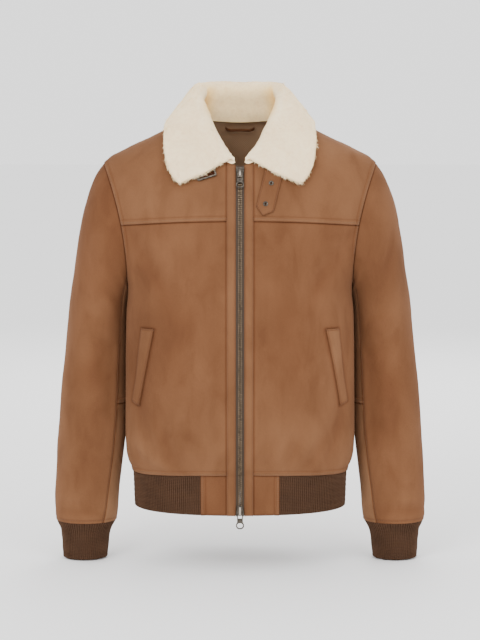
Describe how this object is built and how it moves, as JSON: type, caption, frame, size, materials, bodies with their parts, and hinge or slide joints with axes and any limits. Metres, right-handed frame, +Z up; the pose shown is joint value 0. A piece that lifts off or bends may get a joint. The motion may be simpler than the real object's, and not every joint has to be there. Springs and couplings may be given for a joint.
{
  "type": "jacket held on worn_on_shoulders",
  "caption": "Suede bomber jacket with a turned-down fleece collar, full front zip, throat strap, slanted welt pockets and knitted hem and cuffs, filled out as worn.",
  "frame": {"origin": "middle of the neck opening at the level of the back neck seam, where the wearer's neck and shoulders hold the jacket", "axes": "+Z up, the front faces -Y, +X is the wearer's left"},
  "size_m": [0.6337, 0.265, 0.8141],
  "materials": {
    "suede": "matt tan suede, mottled",
    "rib_knit": "dark brown ribbed wool knit",
    "fleece": "cream pile",
    "lining": "matt brown lining",
    "zip_tape": "woven taupe tape",
    "dark_metal": "antiqued dark metal"
  },
  "bodies": {
    "jacket": {"front_panel_left": "suede", "front_yoke_left": "suede", "zip_facing_left": "suede", "hem_tab_left": "suede", "top_sleeve_left": "suede", "under_sleeve_upper_left": "suede", "under_sleeve_lower_left": "suede", "cuff_rib_left": "rib_knit", "pocket_welt_left": "suede", "zip_tape_left": "zip_tape", "front_panel_right": "suede", "front_yoke_right": "suede", "zip_facing_right": "suede", "hem_tab_right": "suede", "top_sleeve_right": "suede", "under_sleeve_upper_right": "suede", "under_sleeve_lower_right": "suede", "cuff_rib_right": "rib_knit", "pocket_welt_right": "suede", "zip_tape_right": "zip_tape", "back_panel": "suede", "back_lining": "lining", "hem_rib": "rib_knit", "collar": "fleece", "throat_strap": "suede", "strap_eyelet_1": "dark_metal", "strap_eyelet_2": "dark_metal", "throat_buckle": "dark_metal", "buckle_loop": "suede", "zip_chain": "dark_metal", "zip_slider_top": "dark_metal", "zip_slider_bottom": "dark_metal", "hanger_loop": "suede"},
    "pull_top": {"zip_pull_top": "dark_metal"},
    "pull_bottom": {"zip_pull_bottom": "dark_metal"}
  },
  "joints": [
    {"name": "pull_top_hinge", "type": "hinge", "parent": "jacket", "child": "pull_top", "pos_m": [0, -0.09763, -0.08994], "axis": [-1, 0, 0], "range_deg": [0, 100]},
    {"name": "pull_bottom_hinge", "type": "hinge", "parent": "jacket", "child": "pull_bottom", "pos_m": [0, -0.1236, -0.65113], "axis": [-1, 0, 0], "range_deg": [0, 80]}
  ]
}
